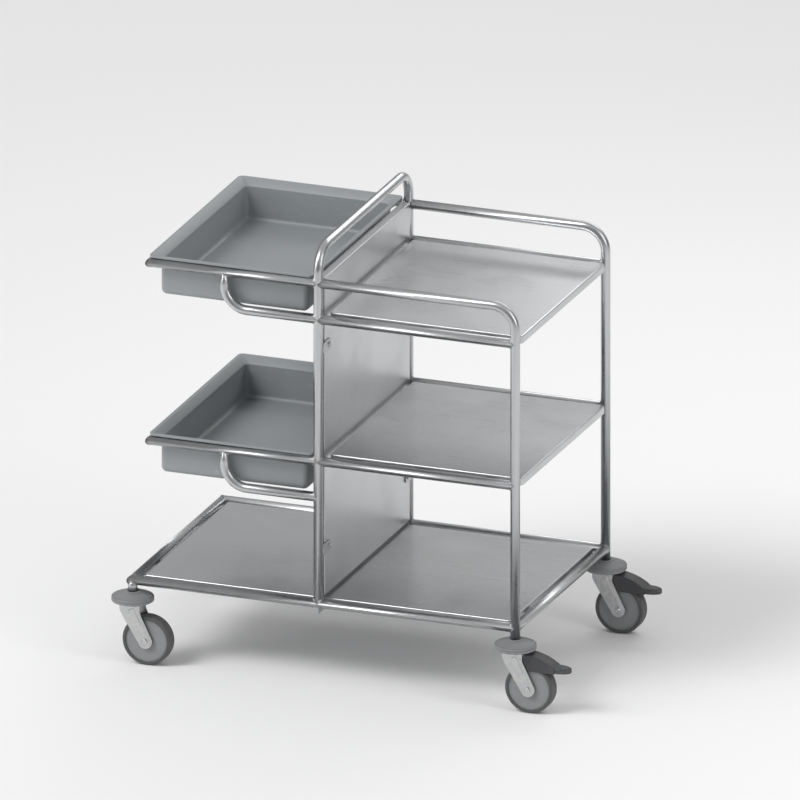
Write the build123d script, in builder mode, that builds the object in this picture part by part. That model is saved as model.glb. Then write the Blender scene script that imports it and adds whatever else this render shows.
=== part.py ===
from build123d import *
import os
from math import acos, atan2, cos, hypot, radians, sin

os.makedirs("parts", exist_ok=True)

# Tiered trolley with two lift-out tubs on the left and three decks on the right.
# Millimetres. +X right, +Y back, +Z up. The origin is on the floor, midway along and across.

# Frame tube
tube_d = 23.0
tube_wall = 1.5
bend_r = 57.5  # centreline radius of every bend
weld_gap = 0.1  # room between a shaped tube end and the tube that it sits on

# Lift-out tubs
tub_length = 609.0  # front to back, over the rim
tub_width = 414.4
tub_depth = 102.0
tub_wall = 4.0
tub_corner_r = 10.6  # inside
tub_floor_r = 10.0  # inside
rim_sheet = 1.8  # of the rim, its lip and the funnel under it
rim_flat = 7.7
rim_corner_r = 12.5
rim_lip = 5.5  # turned-down edge that rests on the rails
rim_seat_gap = 0.3
rim_overhang = 3.0  # past the axis of the front and rear rails
rim_overhang_left = 6.5
rim_gap_right = 13.0  # to the axis of the centre posts
funnel_run = 17.3
funnel_drop = 15.3

# Frame layout
bay_width = 497.0  # centre posts to right posts
base_overhang = 47.1  # the base reaches further left than the tub frames
leg_rise = 50.0  # underside of the bumper disc to the base rail axis
tier_pitch = 355.25
rail_gap = 90.0  # guard rail over the upper shelf, and tub rail over its brace
arch_rise = 82.5
brace_reach = 236.7  # centre post to the upright leg of a brace

# Sheet shelves and deck
pan_sheet = 1.5
pan_edge_r = 3.5
pan_corner_r = 7.0
shelf_rise = 11.8  # top face over the rail axis
shelf_flange = 19.0
shelf_inset = 25.0  # from the front and rear rail axes
shelf_gap_left = 19.4  # from the centre posts' axis
shelf_overrun = 8.0  # past the right posts' axis
deck_rise = 7.5
deck_flange = 14.0
deck_inset_y = 24.0
deck_inset_x = 20.6
tab_width = 30.0
tab_sheet = 3.0
tab_bearing = 14.0  # how far a tab reaches under a pan
tab_end_gap = 75.0  # outer tabs, from the posts

# Divider panel and its fixings
panel_thickness = 20.0
panel_sheet = 1.2
panel_edge_r = 2.0
panel_inset = 17.5
panel_clear = 15.0  # lower edge over the base rail axis
panel_rise = 8.7  # upper edge over the guard rail axis
back_sheet_gap = 0.2
lug_reach = 52.0
lug_height = 29.0
lug_sheet = 3.0
lug_corner_r = 10.0
lug_low = 132.0  # over the base rail
lug_high = 73.5  # under the upper shelf rail
screw_reach = 39.5
screw_d = 6.0
screw_head_d = 12.0
screw_head_h = 3.6
screw_length = 12.0
screw_gap = 0.2

# Angle under the deck
angle_leg = 17.0
angle_sheet = 2.5

# Castors
wheel_d = 121.0
tread_width = 34.0
tyre_depth = 8.3
tyre_shoulder_r = 5.0
hub_width = 28.0
boss_d = 30.0
castor_head = 33.0  # top of the tyre to the underside of the bumper disc
swivel_offset = 39.5
disc_d = 102.0
disc_rim_h = 7.7
disc_edge = 4.5
disc_edge_r = 1.5
disc_shoulder_h = 12.0
disc_shoulder_r = 6.0
disc_land_h = 21.0
disc_land_d = 45.0
stem_d = 12.0
plug_length = 14.0
plug_gap = 0.1
stem_flange_d = 40.0
stem_flange_h = 3.5
stem_head_d = 20.0
stem_head_h = 3.2
running_gap = 0.05
side_gap = 0.3
fork_sheet = 3.0
fork_half_length = 25.0
fork_crown_drop = 7.0  # crown top under the bumper disc
fork_shoulder_drop = 24.0  # where the trailing edge of a leg turns, under the bumper disc
fork_shoulder_r = 18.0
fork_knee_drop = 21.0  # where the leading edge turns
fork_knee_r = 30.0
fork_end_r = 17.0
fork_edge_r = 2.5
bevel_angle = 14.0  # of the strip along the trailing edge of a fork leg
bevel_top_inset = 5.5  # from the shoulder
bevel_foot_inset = 9.8  # from the axle's end of the leg
rib_x = 13.0  # middle of the raised rib, from the swivel axis
rib_drop = 36.5
rib_lean = 24.0
rib_width = 16.5
rib_length = 46.5
rib_h = 1.2
rib_corner_r = 3.0
rib_edge = 0.9
race_d = 42.0
race_h = 7.2
axle_d = 8.0
axle_head_d = 14.5
axle_head_h = 4.0
axle_head_edge = 1.2
axle_nut_size = 13.0
sleeve_d = 12.0

# Brake pedals on the right castors
skirt_sheet = 2.0
skirt_gap = 1.0  # to the tyre on one side and the fork leg on the other
guard_r = 133.5  # of the pedal's curved top
guard_x = 24.4  # its highest point, from the swivel axis
guard_drop = 6.0  # under the bumper disc
guard_sheet = 2.5
guard_edge_r = 2.5
band_gap = 15.5  # tyre to the step in the pedal's sides
band_step = 0.6
notch_gap = 2.5  # round the fork's crown
notch_drop = 1.5  # under the race
tread_start = 78.0  # from the swivel axis
tread_depth = 0.8
skirt_drop = 45.5  # lower edge over the axle
pedal_start = 13.0  # from the swivel axis
pedal_overrun = 4.5  # past the wheel
pedal_end_sheet = 1.5
foot_length = 37.5
foot_width = 36.0
foot_h = 15.0
foot_edge_r = 5.5
pivot_x = 20.0
pivot_drop = 22.0
pivot_d = 6.0
shoe_gap = 6.3
shoe_start = 48.0
shoe_length = 18.0
shoe_width = 16.0

# Places worked out from the sizes above
tube_r = tube_d / 2
wheel_r = wheel_d / 2
castor_height = wheel_d + castor_head
land_z = castor_height + disc_land_h
base_z = castor_height + leg_rise
middle_z = base_z + tier_pitch
upper_z = middle_z + tier_pitch
guard_z = upper_z + rail_gap
arch_z = guard_z + arch_rise

tub_span = rim_gap_right + tub_width - rim_overhang_left
pedal_end_x = swivel_offset + wheel_r + pedal_overrun
reach_left = tub_span + base_overhang + disc_d / 2
reach_right = bay_width + pedal_end_x + foot_length
post_x = (reach_left - reach_right) / 2
tub_rail_x = post_x - tub_span
left_x = tub_rail_x - base_overhang
right_x = post_x + bay_width
rear_y = tub_length / 2 - rim_overhang
front_y = -rear_y

sides = {"front": front_y, "rear": rear_y}
castor_spots = {
    "front_left": (left_x, front_y),
    "rear_left": (left_x, rear_y),
    "front_right": (right_x, front_y),
    "rear_right": (right_x, rear_y),
}
upright = (0, 0, 1)
to_right = (1, 0, 0)
to_left = (-1, 0, 0)
on_base = (Align.CENTER, Align.CENTER, Align.MIN)
rod_length = 3 * arch_z


def save(builder, name):
    builder.part.label = name
    export_step(builder.part, f"parts/{name}.step")


# Frame tubes

def cope_rod(start, direction):
    # The space that another tube takes up, used to shape the end of a tube that meets it
    with BuildPart() as rod:
        with BuildSketch(Plane(origin=start, z_dir=direction)):
            Circle(tube_r + weld_gap)
        extrude(amount=rod_length)
    return rod.part


def straight_tube(start, end, copes=(), miters=()):
    run = Vector(*end) - Vector(*start)
    with BuildPart() as tube:
        with BuildSketch(Plane(origin=start, z_dir=run)):
            Circle(tube_r)
            Circle(tube_r - tube_wall, mode=Mode.SUBTRACT)
        extrude(amount=run.length)
        for plane in miters:
            split(bisect_by=plane, keep=Keep.TOP)
        for rod in copes:
            add(rod, mode=Mode.SUBTRACT)
    return tube


def bent_tube(points, copes):
    with BuildPart() as tube:
        with BuildLine() as route:
            FilletPolyline(*points, radius=bend_r)
        with BuildSketch(Plane(origin=route.line @ 0, z_dir=route.line % 0)):
            Circle(tube_r)
            Circle(tube_r - tube_wall, mode=Mode.SUBTRACT)
        sweep()
        for rod in copes:
            add(rod, mode=Mode.SUBTRACT)
    return tube


def miter(x, y, z, keep_x, keep_y):
    return Plane(origin=(x, y, z), z_dir=(keep_x, keep_y, 0))


post_rods = {side: cope_rod((post_x, y, 0), upright) for side, y in sides.items()}
right_rods = {side: cope_rod((right_x, y, 0), upright) for side, y in sides.items()}
base_rods = {side: cope_rod((right_x, y, base_z), to_left) for side, y in sides.items()}

for side, y in sides.items():
    inward = 1 if side == "front" else -1

    base_rail = straight_tube(
        (left_x - tube_r, y, base_z),
        (right_x, y, base_z),
        copes=[right_rods[side]],
        miters=[miter(left_x, y, base_z, 1, -inward)],
    )
    save(base_rail, f"base_{side}_rail")

    guard_post = bent_tube(
        [(post_x, y, guard_z), (right_x, y, guard_z), (right_x, y, land_z)],
        copes=[post_rods[side]],
    )
    save(guard_post, f"{side}_guard_post")

    for tier, rail_z in {"middle": middle_z, "upper": upper_z}.items():
        shelf_rail = straight_tube(
            (post_x, y, rail_z),
            (right_x, y, rail_z),
            copes=[post_rods[side], right_rods[side]],
        )
        save(shelf_rail, f"{tier}_shelf_{side}_rail")

    for tier, rail_z in {"lower": middle_z, "upper": guard_z}.items():
        tub_rail = straight_tube(
            (tub_rail_x - tube_r, y, rail_z),
            (post_x, y, rail_z),
            copes=[post_rods[side]],
            miters=[miter(tub_rail_x, y, rail_z, 1, -inward)],
        )
        save(tub_rail, f"{tier}_tub_{side}_rail")

        brace_x = post_x - brace_reach
        brace_z = rail_z - rail_gap
        brace = bent_tube(
            [(brace_x, y, rail_z), (brace_x, y, brace_z), (post_x, y, brace_z)],
            copes=[cope_rod((tub_rail_x, y, rail_z), to_right), post_rods[side]],
        )
        save(brace, f"{tier}_{side}_brace")

    # A short leg under the mitred corner, shaped to both of its rails
    corner = (left_x, y, base_z)
    with BuildPart() as corner_rods:
        with BuildLine() as corner_route:
            Polyline((left_x + bend_r, y, base_z), corner, (left_x, y + inward * bend_r, base_z))
        with BuildSketch(Plane(origin=corner_route.line @ 0, z_dir=corner_route.line % 0)):
            Circle(tube_r + weld_gap)
        sweep(transition=Transition.RIGHT)
    leg = straight_tube((left_x, y, land_z), corner, copes=[corner_rods.part])
    save(leg, f"{side}_left_leg")

left_rail_places = [
    ("base_left_rail", left_x, base_z),
    ("lower_tub_left_rail", tub_rail_x, middle_z),
    ("upper_tub_left_rail", tub_rail_x, guard_z),
]
for name, x, z in left_rail_places:
    left_rail = straight_tube(
        (x, front_y - tube_r, z),
        (x, rear_y + tube_r, z),
        miters=[miter(x, front_y, z, -1, 1), miter(x, rear_y, z, -1, -1)],
    )
    save(left_rail, name)

base_right_rail = straight_tube(
    (right_x, front_y, base_z),
    (right_x, rear_y, base_z),
    copes=[*right_rods.values(), *base_rods.values()],
)
save(base_right_rail, "base_right_rail")

centre_arch = bent_tube(
    [
        (post_x, front_y, base_z),
        (post_x, front_y, arch_z),
        (post_x, rear_y, arch_z),
        (post_x, rear_y, base_z),
    ],
    copes=base_rods.values(),
)
save(centre_arch, "centre_arch")


# Shelves and deck: folded pans that stand on tabs

def pan_form(x_low, x_high, y_low, y_high, top_z, height, sheet):
    # The pan's outside, or its hollow when a sheet thickness is taken off
    with BuildPart() as form:
        with BuildSketch(Plane.XY.offset(top_z - height)):
            with Locations(((x_low + x_high) / 2, (y_low + y_high) / 2)):
                RectangleRounded(
                    x_high - x_low - 2 * sheet, y_high - y_low - 2 * sheet, pan_corner_r - sheet
                )
        extrude(amount=height - sheet)
        fillet(form.edges().group_by(Axis.Z)[-1], radius=pan_edge_r - sheet)
    return form.part


def folded_pan(x_low, x_high, y_low, y_high, top_z, flange):
    outside = pan_form(x_low, x_high, y_low, y_high, top_z, flange, 0)
    hollow = pan_form(x_low, x_high, y_low, y_high, top_z, flange, pan_sheet)
    with BuildPart() as pan:
        add(outside)
        add(hollow, mode=Mode.SUBTRACT)
    return pan


shelf_left = post_x + shelf_gap_left
shelf_right = right_x + shelf_overrun
shelf_front = front_y + shelf_inset
for tier, rail_z in {"middle": middle_z, "upper": upper_z}.items():
    shelf = folded_pan(
        shelf_left, shelf_right, shelf_front, -shelf_front, rail_z + shelf_rise, shelf_flange
    )
    save(shelf, f"{tier}_shelf")

deck_left = left_x + deck_inset_x
deck_right = right_x - deck_inset_x
deck_front = front_y + deck_inset_y
base_deck = folded_pan(
    deck_left, deck_right, deck_front, -deck_front, base_z + deck_rise, deck_flange
)
save(base_deck, "base_deck")

shelf_tab_z = shelf_rise - shelf_flange - tab_sheet
deck_tab_z = base_z + deck_rise - deck_flange - tab_sheet
shelf_tab_reach = shelf_inset + tab_bearing
deck_tab_reach = deck_inset_y + tab_bearing
side_tab_reach = deck_inset_x + tab_bearing
shelf_tab_xs = [post_x + tab_end_gap, (post_x + right_x) / 2, right_x - tab_end_gap]
deck_tab_xs = [left_x + tab_end_gap, post_x - tab_end_gap, post_x + tab_end_gap, right_x - tab_end_gap]
side_tab_ys = [front_y / 2, rear_y / 2]
tab_rods = [cope_rod((left_x, y, z), to_right) for y in sides.values() for z in (base_z, middle_z, upper_z)]
tab_rods += [cope_rod((x, 2 * front_y, base_z), (0, 1, 0)) for x in (left_x, right_x)]

with BuildPart() as shelf_tabs:
    for inward, y in ((1, front_y), (-1, rear_y)):
        shelf_spots = [
            (x, y + inward * shelf_tab_reach / 2, z + shelf_tab_z)
            for x in shelf_tab_xs
            for z in (middle_z, upper_z)
        ]
        with Locations(*shelf_spots):
            Box(tab_width, shelf_tab_reach, tab_sheet, align=on_base)
        with Locations(*[(x, y + inward * deck_tab_reach / 2, deck_tab_z) for x in deck_tab_xs]):
            Box(tab_width, deck_tab_reach, tab_sheet, align=on_base)
    for inward, x in ((1, left_x), (-1, right_x)):
        with Locations(*[(x + inward * side_tab_reach / 2, y, deck_tab_z) for y in side_tab_ys]):
            Box(side_tab_reach, tab_width, tab_sheet, align=on_base)
    for rod in tab_rods:
        add(rod, mode=Mode.SUBTRACT)
save(shelf_tabs, "shelf_tabs")

# Angle that runs front to back under the deck, from rail to rail
angle_top = base_z - tube_r - weld_gap
with BuildPart() as deck_stiffener:
    with BuildSketch(Plane.XZ.offset(-rear_y)):
        with Locations((post_x, angle_top)):
            Rectangle(angle_leg, angle_sheet, align=(Align.MAX, Align.MAX))
            Rectangle(angle_sheet, angle_leg, align=(Align.MAX, Align.MAX))
    extrude(amount=rear_y - front_y)
save(deck_stiffener, "deck_stiffener")


# Divider panel: a folded cover, its back sheet, and lugs on the centre posts

panel_low = base_z + panel_clear
panel_high = guard_z + panel_rise
panel_length = 2 * (rear_y - panel_inset)
panel_mid_z = (panel_low + panel_high) / 2
panel_face = post_x + panel_thickness / 2
panel_back = post_x - panel_thickness / 2
lug_zs = [base_z + lug_low, upper_z - lug_high]
screw_spots = [(y, z) for y in (front_y + screw_reach, rear_y - screw_reach) for z in lug_zs]

with BuildPart() as divider_panel:
    with BuildSketch(Plane.YZ.offset(panel_back)):
        with Locations((0, panel_mid_z)):
            Rectangle(panel_length, panel_high - panel_low)
    extrude(amount=panel_thickness)
    fillet(divider_panel.edges().group_by(Axis.X)[-1], radius=panel_edge_r)
    offset(amount=-panel_sheet, openings=divider_panel.faces().sort_by(Axis.X)[0])
    with BuildSketch(Plane.YZ.offset(panel_face)):
        with Locations(*screw_spots):
            Circle(screw_d / 2 + screw_gap)
    extrude(amount=-panel_thickness / 2, mode=Mode.SUBTRACT)
save(divider_panel, "divider_panel")

back_margin = 2 * (panel_sheet + back_sheet_gap)
with BuildPart() as divider_back:
    with BuildSketch(Plane.YZ.offset(panel_back)):
        with Locations((0, panel_mid_z)):
            Rectangle(panel_length - back_margin, panel_high - panel_low - back_margin)
    extrude(amount=panel_sheet)
save(divider_back, "divider_back")

with BuildPart() as panel_lugs:
    with BuildSketch(Plane.YZ.offset(panel_face)):
        with Locations(*[(front_y + lug_reach / 2, z) for z in lug_zs]):
            RectangleRounded(lug_reach, lug_height, lug_corner_r)
        with Locations(*[(front_y + screw_reach, z) for z in lug_zs]):
            Circle(screw_d / 2 + screw_gap, mode=Mode.SUBTRACT)
    extrude(amount=lug_sheet)
    add(post_rods["front"], mode=Mode.SUBTRACT)
    split(bisect_by=Plane(origin=(post_x, front_y, 0), z_dir=(0, 1, 0)), keep=Keep.TOP)
    mirror(about=Plane.XZ)
save(panel_lugs, "panel_lugs")

with BuildPart() as panel_screws:
    with BuildSketch(Plane.YZ.offset(panel_face + lug_sheet)):
        with Locations(*screw_spots):
            Circle(screw_head_d / 2)
    extrude(amount=screw_head_h)
    fillet(panel_screws.edges().group_by(Axis.X)[-1], radius=screw_head_h / 2)
    with BuildSketch(Plane.YZ.offset(panel_face + lug_sheet)):
        with Locations(*screw_spots):
            Circle(screw_d / 2)
    extrude(amount=-screw_length)
save(panel_screws, "panel_screws")


# Tubs: a deep tray, a funnel that clears the rails, and a rim with a turned-down lip

rim_rise = tube_r + rim_seat_gap + rim_lip
wall_inset = rim_flat + funnel_run
funnel_shell = rim_sheet * hypot(funnel_run, funnel_drop) / funnel_drop  # measured level
tub_x = post_x - rim_gap_right - tub_width / 2


def tub_plan(z, inset, corner_r):
    with BuildSketch(Plane.XY.offset(z)) as plan:
        with Locations((tub_x, 0)):
            RectangleRounded(tub_width - 2 * inset, tub_length - 2 * inset, corner_r)
    return plan.sketch


def tub_form(rim_z, wall, shell):
    # The tub's inside, or its outside when the thicknesses of its wall and funnel are put on
    top_inset = rim_flat - shell
    foot_inset = wall_inset - wall
    foot_z = rim_z - (foot_inset - top_inset) * funnel_drop / funnel_run
    floor_z = rim_z - tub_depth + tub_wall - wall
    with BuildPart() as form:
        extrude(tub_plan(floor_z, foot_inset, tub_corner_r + wall), amount=foot_z - floor_z)
        fillet(form.edges().group_by(Axis.Z)[0], radius=tub_floor_r + wall)
        loft(
            [
                tub_plan(foot_z, foot_inset, tub_corner_r + wall),
                tub_plan(rim_z, top_inset, rim_corner_r - top_inset),
            ],
            ruled=True,
        )
    return form.part


for tier, rail_z in {"lower": middle_z, "upper": guard_z}.items():
    rim_z = rail_z + rim_rise
    outside = tub_form(rim_z, tub_wall, funnel_shell)
    inside = tub_form(rim_z, 0, 0)
    with BuildPart() as tub:
        extrude(tub_plan(rim_z, 0, rim_corner_r), amount=-rim_lip)
        extrude(
            tub_plan(rim_z - rim_sheet, rim_sheet, rim_corner_r - rim_sheet),
            amount=-rim_lip,
            mode=Mode.SUBTRACT,
        )
        add(outside)
        add(inside, mode=Mode.SUBTRACT)
    save(tub, f"{tier}_tub")


# Castors

def castor_places(z):
    return [(x, y, z) for x, y in castor_spots.values()]


disc_shoulder = (disc_d / 2 - disc_edge, castor_height + disc_shoulder_h)
with BuildPart() as disc_form:
    with BuildSketch(Plane.XZ) as disc_profile:
        with BuildLine():
            Polyline(
                (stem_d / 2 + plug_gap, castor_height),
                (disc_d / 2, castor_height),
                (disc_d / 2, castor_height + disc_rim_h),
                disc_shoulder,
                (disc_land_d / 2, land_z),
                (stem_d / 2 + plug_gap, land_z),
                close=True,
            )
        make_face()
        fillet(disc_profile.vertices().sort_by_distance(disc_shoulder)[0], radius=disc_shoulder_r)
        fillet(disc_profile.vertices().group_by(Axis.X)[-1], radius=disc_edge_r)
    revolve(axis=Axis.Z)
with BuildPart() as bumper_discs:
    with Locations(*castor_places(0)):
        add(disc_form.part)
save(bumper_discs, "bumper_discs")

race_top = castor_height - stem_flange_h - side_gap
race_low = race_top - race_h
stem_low = race_low - side_gap - stem_head_h
with BuildPart() as castor_stems:
    with Locations(*castor_places(stem_low)):
        Cylinder(stem_head_d / 2, stem_head_h, align=on_base)
        Cylinder(stem_d / 2, land_z - stem_low, align=on_base)
    with Locations(*castor_places(castor_height - stem_flange_h)):
        Cylinder(stem_flange_d / 2, stem_flange_h, align=on_base)
    with Locations(*castor_places(land_z)):
        Cylinder(tube_r - tube_wall - plug_gap, plug_length, align=on_base)
save(castor_stems, "castor_stems")

fork_inner = tread_width / 2 + skirt_sheet + 2 * skirt_gap
fork_outer = fork_inner + fork_sheet
crown_z = castor_height - fork_crown_drop
shoulder_z = castor_height - fork_shoulder_drop
pivot_z = castor_height - pivot_drop


def tangent_point(x, z, turn_side):
    # Where a line from (x, z) runs onto the round end of a fork leg
    away = atan2(z - wheel_r, x - swivel_offset)
    turn = acos(fork_end_r / hypot(x - swivel_offset, z - wheel_r))
    return end_point(away + turn_side * turn)


def end_point(angle):
    return swivel_offset + fork_end_r * cos(angle), wheel_r + fork_end_r * sin(angle)


def bevel_plane(side):
    # Cuts the strip along the trailing edge of the front (-1) or rear (1) leg
    top = Vector(fork_half_length - bevel_top_inset, side * fork_outer, shoulder_z)
    foot = Vector(swivel_offset + fork_end_r - bevel_foot_inset, side * fork_outer, wheel_r)
    across = (foot - top).normalized().cross(Vector(0, 1, 0))
    lean = radians(bevel_angle)
    return Plane(origin=top, z_dir=across * sin(lean) + Vector(0, side, 0) * cos(lean))


def fork_form(braked):
    knee = (-fork_half_length, castor_height - fork_knee_drop)
    shoulder = (fork_half_length, shoulder_z)
    lower_left = tangent_point(*knee, 1)
    lower_right = tangent_point(*shoulder, -1)
    lowest = end_point(radians(-90))
    with BuildPart() as fork:
        with BuildSketch(Plane.XZ) as outline:
            with BuildLine():
                Polyline(
                    lower_right,
                    shoulder,
                    (fork_half_length, crown_z),
                    (-fork_half_length, crown_z),
                    knee,
                    lower_left,
                )
                ThreePointArc(lower_left, lowest, lower_right)
            make_face()
            fillet(outline.vertices().sort_by_distance(knee)[0], radius=fork_knee_r)
            fillet(outline.vertices().sort_by_distance(shoulder)[0], radius=fork_shoulder_r)
        extrude(amount=fork_outer, both=True)
        fillet(fork.edges().filter_by(Axis.X).group_by(Axis.Z)[-1], radius=fork_edge_r)
        for side in (-1, 1):
            split(bisect_by=bevel_plane(side), keep=Keep.BOTTOM)
            with BuildSketch(Plane.XZ.offset(-side * fork_outer)):
                with Locations((rib_x, castor_height - rib_drop)):
                    RectangleRounded(rib_width, rib_length, rib_corner_r, rotation=rib_lean)
            extrude(amount=-side * rib_h)
            rib_rim = fork.faces().sort_by(Axis.Y)[0 if side < 0 else -1].edges()
            chamfer(rib_rim, length=rib_edge)
        with BuildSketch(Plane.XY.offset(crown_z - fork_sheet)):
            Rectangle(rod_length, 2 * fork_inner)
        extrude(amount=-crown_z, mode=Mode.SUBTRACT)
        with Locations((0, 0, race_low)):
            Cylinder(race_d / 2, race_h, align=on_base)
            Cylinder(stem_d / 2 + running_gap, race_h, align=on_base, mode=Mode.SUBTRACT)
        with BuildSketch(Plane.XZ):
            with Locations((swivel_offset, wheel_r)):
                Circle(axle_d / 2 + running_gap)
            if braked:
                with Locations((pivot_x, pivot_z)):
                    Circle(pivot_d / 2 + running_gap)
        extrude(amount=fork_outer, both=True, mode=Mode.SUBTRACT)
    return fork


fork_forms = {"left": fork_form(False), "right": fork_form(True)}
axle_plane = Plane(origin=(swivel_offset, 0, wheel_r), x_dir=to_right, z_dir=(0, -1, 0))

with BuildPart() as axle_form:
    with BuildSketch(axle_plane.offset(fork_outer)):
        Circle(axle_head_d / 2)
    extrude(amount=axle_head_h)
    chamfer(axle_form.edges().group_by(Axis.Y)[0], length=axle_head_edge)
    with BuildSketch(axle_plane.offset(fork_outer)):
        Circle(axle_d / 2)
    extrude(amount=-2 * fork_outer - axle_head_h)
    with BuildSketch(axle_plane.offset(-fork_outer)):
        RegularPolygon(axle_nut_size / 2, 6, major_radius=False)
        Circle(axle_d / 2 + running_gap, mode=Mode.SUBTRACT)
    extrude(amount=-axle_head_h)

with BuildPart() as sleeve_form:
    with BuildSketch(axle_plane):
        Circle(sleeve_d / 2)
        Circle(axle_d / 2 + running_gap, mode=Mode.SUBTRACT)
    extrude(amount=fork_inner, both=True)

with BuildPart() as hub_form:
    with BuildSketch(axle_plane):
        Circle(wheel_r - tyre_depth)
    extrude(amount=hub_width / 2, both=True)
    with BuildSketch(axle_plane):
        Circle(boss_d / 2)
    extrude(amount=fork_inner - side_gap, both=True)
    with BuildSketch(axle_plane):
        Circle(sleeve_d / 2 + running_gap)
    extrude(amount=fork_inner, both=True, mode=Mode.SUBTRACT)

with BuildPart() as tyre_form:
    with BuildSketch(axle_plane):
        Circle(wheel_r)
    extrude(amount=tread_width / 2, both=True)
    fillet(tyre_form.edges().filter_by(GeomType.CIRCLE), radius=tyre_shoulder_r)
    with BuildSketch(axle_plane):
        Circle(wheel_r - tyre_depth + running_gap)
    extrude(amount=tread_width / 2, both=True, mode=Mode.SUBTRACT)

# Brake pedal: a curved guard over the wheel, sunk along the tread, with a shoe inside and a foot plate
skirt_outer = tread_width / 2 + skirt_gap + skirt_sheet
skirt_low = wheel_r + skirt_drop
guard_spot = (guard_x - swivel_offset, castor_height - guard_drop - guard_r - wheel_r)
notch_spot = (pedal_start - swivel_offset, race_low - notch_drop - wheel_r)
with BuildPart() as foot_form:
    with BuildSketch(Plane.XY.offset(skirt_low)):
        with Locations((pedal_end_x, 0)):
            Ellipse(foot_length, foot_width / 2)
    extrude(amount=foot_h)
    fillet(foot_form.edges().filter_by(GeomType.ELLIPSE), radius=foot_edge_r)
    split(bisect_by=Plane.YZ.offset(pedal_end_x - pedal_end_sheet), keep=Keep.TOP)
with BuildPart() as pedal_form:
    with BuildSketch(axle_plane):
        with Locations(guard_spot):
            Circle(guard_r)
        with Locations((pedal_start - swivel_offset, skirt_drop)):
            Rectangle(
                pedal_end_x - pedal_start, guard_r, align=(Align.MIN, Align.MIN), mode=Mode.INTERSECT
            )
    extrude(amount=skirt_outer, both=True)
    fillet(pedal_form.edges().filter_by(GeomType.CIRCLE), radius=guard_edge_r)
    with BuildSketch(axle_plane):
        with Locations(guard_spot):
            Circle(guard_r)
            Circle(guard_r - tread_depth, mode=Mode.SUBTRACT)
        with Locations((tread_start - swivel_offset, 0)):
            Rectangle(guard_r, guard_r, align=(Align.MIN, Align.MIN), mode=Mode.INTERSECT)
    extrude(amount=skirt_outer - guard_edge_r, both=True, mode=Mode.SUBTRACT)
    with BuildSketch(axle_plane):
        with Locations(guard_spot):
            Circle(guard_r - guard_sheet)
        with Locations((pedal_end_x - pedal_end_sheet - swivel_offset, 0)):
            Rectangle(
                2 * guard_r, 2 * guard_r, align=(Align.MAX, Align.CENTER), mode=Mode.INTERSECT
            )
    extrude(amount=skirt_outer - skirt_sheet, both=True, mode=Mode.SUBTRACT)
    with BuildSketch(axle_plane):
        with Locations(notch_spot):
            Rectangle(
                fork_half_length + notch_gap - pedal_start, guard_r, align=(Align.MIN, Align.MIN)
            )
    extrude(amount=skirt_outer, both=True, mode=Mode.SUBTRACT)
    for side in (-1, 1):
        with BuildSketch(axle_plane.offset(side * skirt_outer)):
            Circle(wheel_r + band_gap)
        extrude(amount=-side * band_step, mode=Mode.SUBTRACT)
    with BuildSketch(axle_plane):
        with Locations(guard_spot):
            Circle(guard_r - guard_sheet / 2)
        Circle(wheel_r + shoe_gap, mode=Mode.SUBTRACT)
        with Locations((shoe_start - swivel_offset, 0)):
            Rectangle(shoe_length, guard_r, align=(Align.MIN, Align.MIN), mode=Mode.INTERSECT)
    extrude(amount=shoe_width / 2, both=True)
    add(foot_form.part)
    with BuildSketch(Plane.XZ):
        with Locations((pivot_x, pivot_z)):
            Circle(pivot_d / 2 + running_gap)
    extrude(amount=skirt_outer, both=True, mode=Mode.SUBTRACT)

with BuildPart() as pin_form:
    with BuildSketch(Plane.XZ):
        with Locations((pivot_x, pivot_z)):
            Circle(pivot_d / 2)
    extrude(amount=fork_outer, both=True)

for corner, spot in castor_spots.items():
    forms = {
        "fork": fork_forms[corner.split("_")[1]],
        "axle_bolt": axle_form,
        "axle_sleeve": sleeve_form,
        "wheel_hub": hub_form,
        "tyre": tyre_form,
    }
    if corner.endswith("right"):
        forms["pedal"] = pedal_form
        forms["brake_pin"] = pin_form
    for name, form in forms.items():
        with BuildPart() as piece:
            with Locations(spot):
                add(form.part)
        save(piece, f"{corner}_{name}")
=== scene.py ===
import math

import bmesh
import bpy
from mathutils import Matrix, Vector


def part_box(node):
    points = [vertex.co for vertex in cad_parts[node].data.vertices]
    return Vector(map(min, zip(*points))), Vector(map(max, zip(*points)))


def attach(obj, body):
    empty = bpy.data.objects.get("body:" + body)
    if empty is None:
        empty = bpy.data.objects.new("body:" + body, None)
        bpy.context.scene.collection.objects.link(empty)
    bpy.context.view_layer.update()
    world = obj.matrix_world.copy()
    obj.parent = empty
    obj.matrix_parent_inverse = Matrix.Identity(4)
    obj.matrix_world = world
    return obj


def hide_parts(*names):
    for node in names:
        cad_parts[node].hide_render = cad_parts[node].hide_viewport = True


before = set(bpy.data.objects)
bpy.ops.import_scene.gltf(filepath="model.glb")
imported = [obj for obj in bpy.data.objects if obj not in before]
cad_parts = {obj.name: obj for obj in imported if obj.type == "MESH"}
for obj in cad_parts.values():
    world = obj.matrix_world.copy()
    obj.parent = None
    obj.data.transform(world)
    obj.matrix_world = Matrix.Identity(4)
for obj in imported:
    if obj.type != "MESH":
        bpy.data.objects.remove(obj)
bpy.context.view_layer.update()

print("frame loaded,", len(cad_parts), "nodes")


# Places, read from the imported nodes

def middle(node):
    low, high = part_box(node)
    return (low + high) / 2


def camelName(node):
    first, *others = node.split("_")
    return first + "".join(word.capitalize() for word in others)


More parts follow.
